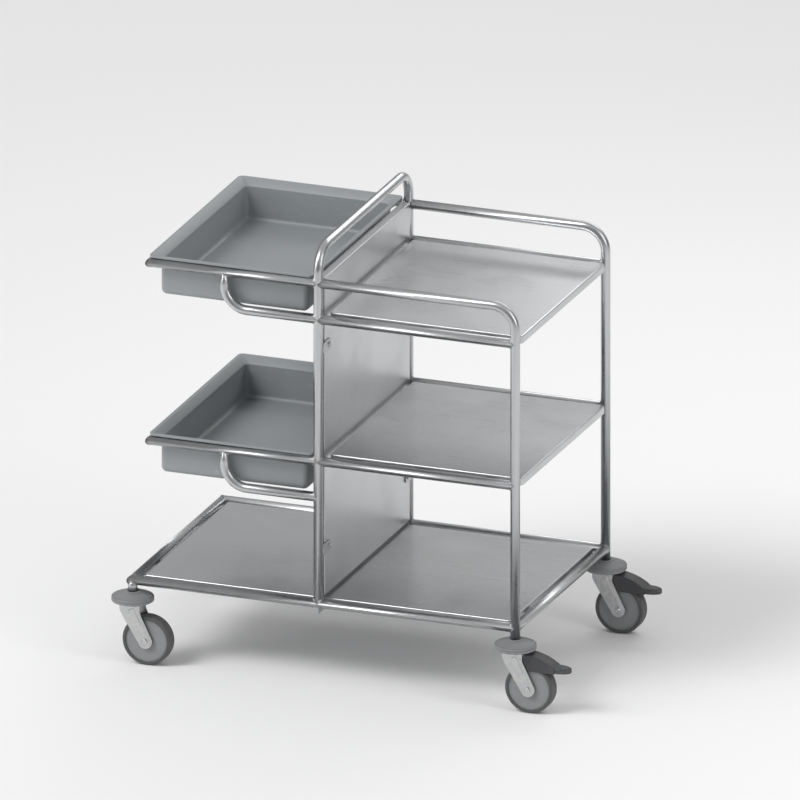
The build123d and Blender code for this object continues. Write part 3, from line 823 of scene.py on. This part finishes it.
def tubSection(depth):
    # inset from the rim's edge, height from the rim's top, and corner radius of each loop
    shape = tubShape
    edge, flat, sheet, lip = shape["edgeR"], shape["flat"], shape["sheet"], shape["lip"]
    inner, outer = shape["wallInset"], shape["wallInset"] - shape["wall"]
    outerCornerR = shape["cornerR"] + shape["wall"]
    floorZ = shape["wall"] - depth
    floorR, outerR = shape["floorR"], shape["floorR"] + shape["wall"]
    funnelTop = shape["funnelTop"]
    slope = (inner - flat) / shape["funnelDrop"]
    section = []

    def follow(spots, radiusAt):
        section.extend((inset, z, radiusAt(inset)) for inset, z in spots)

    def concentric(start, radius):
        return lambda inset: radius - (inset - start)

    def between(start, startR, end, endR):
        return lambda inset: startR + (endR - startR) * (inset - start) / (end - start)

    rim = concentric(0.0, shape["rimR"])
    insideWall = concentric(inner, shape["cornerR"])
    outsideWall = concentric(outer, outerCornerR)
    funnelIn = between(flat, shape["rimR"] - flat, inner, shape["cornerR"])
    funnelOut = between(funnelTop, shape["rimR"] - funnelTop, outer, outerCornerR)
    level, plumb = Vector((1, 0)), Vector((0, 1))
    foot, top = Vector((inner, -shape["funnelDrop"])), Vector((flat, 0.0))
    footOut = Vector((outer, -(outer - funnelTop) / slope))
    run = (top - foot).normalized()

    follow(arc((inner + floorR, floorZ + floorR), floorR, 270, 180, shape["floorSteps"]), insideWall)
    footEase, (midDrop, midRise) = shape["footEase"], shape["footMid"]
    follow([foot - plumb * footEase, foot - plumb * midDrop + run * midRise, foot + run * footEase], funnelIn)
    topEase, (midFall, midOut) = shape["topEase"], shape["topMid"]
    follow([top - run * topEase, top - run * midFall - level * midOut, top - level * topEase], funnelIn)
    follow(arc((edge, -edge), edge, 90, 180, shape["rimSteps"]), rim)
    follow(arc((edge, edge - lip), edge, 180, 270, shape["lipSteps"]), rim)
    follow(arc((sheet - edge, edge - lip), edge, 270, 360, shape["lipSteps"]), rim)
    under = shape["underEase"]
    follow([(sheet, -sheet - under), (sheet + under, -sheet)], rim)
    follow([(funnelTop + slope * sheet - under, -sheet)], funnelOut)
    follow([(funnelTop + slope * (sheet + under), -sheet - under)], funnelOut)
    follow([footOut + run * footEase, footOut - plumb * footEase], funnelOut)
    follow(arc((outer + outerR, outerR - depth), outerR, 180, 270, shape["floorSteps"]), outsideWall)
    return section


def layTub(node):
    low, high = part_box(node)
    half, centre = (high - low) / 2, (low + high) / 2
    steps = tubShape["cornerSteps"]
    signs = [(1, 1), (-1, 1), (-1, -1), (1, -1)]
    bm = bmesh.new()
    place = bm.verts.layers.int.new("place")
    ring = bmesh.ops.create_circle(bm, segments=4 * (steps + 1), radius=half.x)["verts"]
    for spot, vert in enumerate(ring):
        vert[place] = spot

    def setLoop(verts, inset, z, radius):
        for vert in verts:
            corner, step = divmod(vert[place], steps + 1)
            turn = math.pi / 2 * (corner + step / steps)
            signX, signY = signs[corner]
            vert.co = (
                centre.x + signX * (half.x - inset - radius) + radius * math.cos(turn),
                centre.y + signY * (half.y - inset - radius) + radius * math.sin(turn),
                high.z + z,
            )

    section = tubSection(high.z - low.z)
    setLoop(ring, *section[0])
    loop = bm.edges[:]
    bmesh.ops.edgeloop_fill(bm, edges=loop)
    for station in section[1:]:
        verts, loop = growLoop(bm, loop)
        setLoop(verts, *station)
    bmesh.ops.edgeloop_fill(bm, edges=loop)
    bmesh.ops.recalc_face_normals(bm, faces=bm.faces)
    bm.verts.layers.int.remove(place)
    for face in bm.faces:
        face.smooth = len(face.verts) == 4
    tier = node.split("_")[0]
    settle(tier + "TubSkin", bm, tubFinish, node, [node])


for node in ("upper_tub", "lower_tub"):
    layTub(node)
print("tubs made")


# Bumper discs: a rim band, a round shoulder and a fine groove on each side of it
discShape = {
    "rimH": 0.0077,
    "shoulderR": 0.0045,
    "shoulderTurn": 70,
    "shoulderSteps": 8,
    "footR": 0.0015,
    "footSteps": 4,
    "groove": 0.0012,
    "grooveDepth": 0.0010,
    "grooveFloor": (0.3, 0.7),  # shares of its width
    "landR": 0.0225,
    "boreR": 0.0061,
}


def discSection():
    # reach from the axis and height over the underside, from the bore's foot round to its top
    shape = discShape
    rimR, landH = leftX - discLow.x, discHigh.z - discLow.z
    rimH, groove, depth = shape["rimH"], shape["groove"], shape["grooveDepth"]
    footR, shoulderR = shape["footR"], shape["shoulderR"]
    near, far = shape["grooveFloor"]
    section = [(shape["boreR"], 0.0)]
    section += arc((rimR - footR, footR), footR, 270, 360, shape["footSteps"])
    section.append((rimR, rimH - groove))
    section += [(rimR - depth, rimH - groove * share) for share in (far, near)]
    section += arc((rimR - shoulderR, rimH), shoulderR, 0, shape["shoulderTurn"], shape["shoulderSteps"])
    top, land = Vector(section[-1]), Vector((shape["landR"], landH))
    run = (land - top).normalized()
    into = Vector((-run.y, run.x)) * depth
    section += [tuple(top + run * groove * share + into) for share in (near, far)]
    section += [tuple(top + run * groove), tuple(land), (shape["boreR"], landH)]
    return section


# Collars round the feet of the tubes, where they stand on the discs
collarShape = {"outerR": 0.0212, "innerR": 0.0116, "height": 0.0024, "edge": 0.0008, "edgeSteps": 3}


def collarSection():
    shape = collarShape
    inner, outer, height, edge = shape["innerR"], shape["outerR"], shape["height"], shape["edge"]
    inside = arc((inner + edge, height - edge), edge, 180, 90, shape["edgeSteps"])
    outside = arc((outer - edge, height - edge), edge, 90, 0, shape["edgeSteps"])
    return [(inner, 0.0), *inside, *outside, (outer, 0.0)]


spinShape = {"steps": 96, "crispTurn": 30}


def spinAtCorners(name, section, z, nodes=()):
    # one closed section spun round the axis of each castor
    bm = bmesh.new()
    for x in (leftX, rightX):
        for y in sideYs.values():
            verts = [bm.verts.new((x + reach, y, z + level)) for reach, level in section]
            edges = [bm.edges.new((verts[spot - 1], verts[spot])) for spot in range(len(verts))]
            bmesh.ops.spin(
                bm, geom=verts + edges, cent=(x, y, z), axis=up, angle=2 * math.pi, steps=spinShape["steps"],
                use_merge=True,
            )
    bmesh.ops.remove_doubles(bm, verts=bm.verts, dist=mergeDist)
    bmesh.ops.recalc_face_normals(bm, faces=bm.faces)
    for face in bm.faces:
        face.smooth = True
    for edge in bm.edges:
        edge.smooth = edge.calc_face_angle() < math.radians(spinShape["crispTurn"])
    settle(name, bm, bumperPlastic, "frame", nodes)


spinAtCorners("bumperDiscSkins", discSection(), discLow.z, ["bumper_discs"])
spinAtCorners("discCollars", collarSection(), landZ)
print("discs and collars made")


# Finishes on the nodes whose shapes stay as they are
def dress(material, *nodes):
    for node in nodes:
        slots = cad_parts[node].data.materials
        if slots:
            slots[0] = material
        else:
            slots.append(material)


dress(shelfSteel, "upper_shelf", "middle_shelf", "base_deck")
dress(panelSteel, "divider_panel", "divider_back")
dress(bracketSteel, "shelf_tabs", "deck_stiffener", "panel_lugs")
dress(fastenerZinc, "castor_stems")
for corner in corners:
    dress(castorZinc, corner + "_fork", corner + "_axle_sleeve")
    dress(fastenerZinc, corner + "_axle_bolt")
    dress(hubPlastic(corner), corner + "_wheel_hub")
    dress(tyreRubber(corner), corner + "_tyre")
for corner in ("front_right", "rear_right"):
    dress(pedalPlastic, corner + "_pedal")
    dress(fastenerZinc, corner + "_brake_pin")
print("nodes dressed")


# Studio: pale floor, soft light, camera at the drawing's angle
studio = {
    "floorHalf": 9.0,
    "floorTone": (0.93, 0.93, 0.93, 1),
    "floorRough": 0.9,
    "skyTop": 0.95,
    "skyLow": 0.30,
    "skyRise": 0.9,
    "skyLevel": 0.61,
    "skyPanels": [  # soft bright fields in the sky: direction, cosine of their edge, added light
        ((-0.85, -0.50, 0.30), 0.78, 0.50),
        ((0.95, -0.35, 0.25), 0.80, 0.40),
        ((0.15, 0.95, 0.35), 0.78, 0.45),
    ],
    "panelSoftness": 0.16,
}


def makeFloor():
    bm = bmesh.new()
    bmesh.ops.create_grid(bm, x_segments=2, y_segments=2, size=studio["floorHalf"])
    mesh = bpy.data.meshes.new("floor")
    bm.to_mesh(mesh)
    bm.free()
    material, wire = startMaterial("floorPaint")
    mesh.materials.append(closeMaterial(material, wire, {
        "Base Color": studio["floorTone"],
        "Roughness": studio["floorRough"],
        "Specular IOR Level": 0.0,
    }))
    floor = bpy.data.objects.new("floor", mesh)
    bpy.context.scene.collection.objects.link(floor)


def makeSky():
    world = bpy.data.worlds.new("studioSky")
    bpy.context.scene.world = world
    world.use_nodes = True
    world.node_tree.nodes.clear()
    wire = Wire(world.node_tree)
    at = wire.node("TexCoord", output="Generated")
    rise = fade(axisPart(at, "Z"), 0.0, studio["skyRise"])
    level = rise * (studio["skyTop"] - studio["skyLow"]) + studio["skyLow"]
    for aim, wide, glow in studio["skyPanels"]:
        sockets = {0: at, 1: Vector(aim).normalized()}
        facing = at.node("VectorMath", {"operation": "DOT_PRODUCT"}, sockets, "Value")
        level = level + fade(facing, wide, wide + studio["panelSoftness"]) * glow
    colour = tint(level, (0, 0, 0, 1), (1, 1, 1, 1))
    sky = wire.node("Background", sockets={"Color": colour, "Strength": studio["skyLevel"]})
    wire.node("OutputWorld", sockets={"Surface": sky})


lamps = {
    "keyLamp": {
        "kind": "SUN", "spot": (-2.2, -2.6, 4.2), "aim": (0, 0, 0.5), "energy": 1.12,
        "angle": math.radians(24.0),
    },
    "leftSoftbox": {
        "kind": "AREA", "spot": (-2.6, -1.9, 1.9), "aim": (0, 0, 0.6), "energy": 22.0,
        "shape": "RECTANGLE", "size": 0.8, "size_y": 2.0,
    },
    "rightSoftbox": {
        "kind": "AREA", "spot": (3.0, -1.0, 2.2), "aim": (0.1, 0, 0.6), "energy": 17.0,
        "shape": "RECTANGLE", "size": 0.8, "size_y": 2.2,
    },
    "backSoftbox": {
        "kind": "AREA", "spot": (0.4, 2.8, 2.8), "aim": (0, 0, 0.7), "energy": 18.0,
        "shape": "RECTANGLE", "size": 2.4, "size_y": 0.8,
    },
}


def addLamp(name, kind, spot, aim, **settings):
    lamp = bpy.data.lights.new(name, kind)
    for key, value in settings.items():
        setattr(lamp, key, value)
    holder = bpy.data.objects.new(name, lamp)
    holder.location = spot
    holder.rotation_euler = (Vector(aim) - Vector(spot)).to_track_quat("-Z", "Y").to_euler()
    bpy.context.scene.collection.objects.link(holder)


makeFloor()
makeSky()
for name, lamp in lamps.items():
    addLamp(name, **lamp)

viewpoint = {
    "aim": (0.03218, 0.0, 0.62398),
    "back": (0.33333, -0.88192, 0.33333),
    "distance": 6.0,
    "scale": 1.8881,
}
lens = bpy.data.cameras.new("camera")
lens.type = "ORTHO"
lens.ortho_scale = viewpoint["scale"]
camera = bpy.data.objects.new("camera", lens)
towards = Vector(viewpoint["back"]).normalized()
camera.location = Vector(viewpoint["aim"]) + towards * viewpoint["distance"]
camera.rotation_euler = towards.to_track_quat("Z", "Y").to_euler()
bpy.context.scene.collection.objects.link(camera)
bpy.context.scene.camera = camera
bpy.context.scene.view_settings.view_transform = "Standard"
print("studio set")
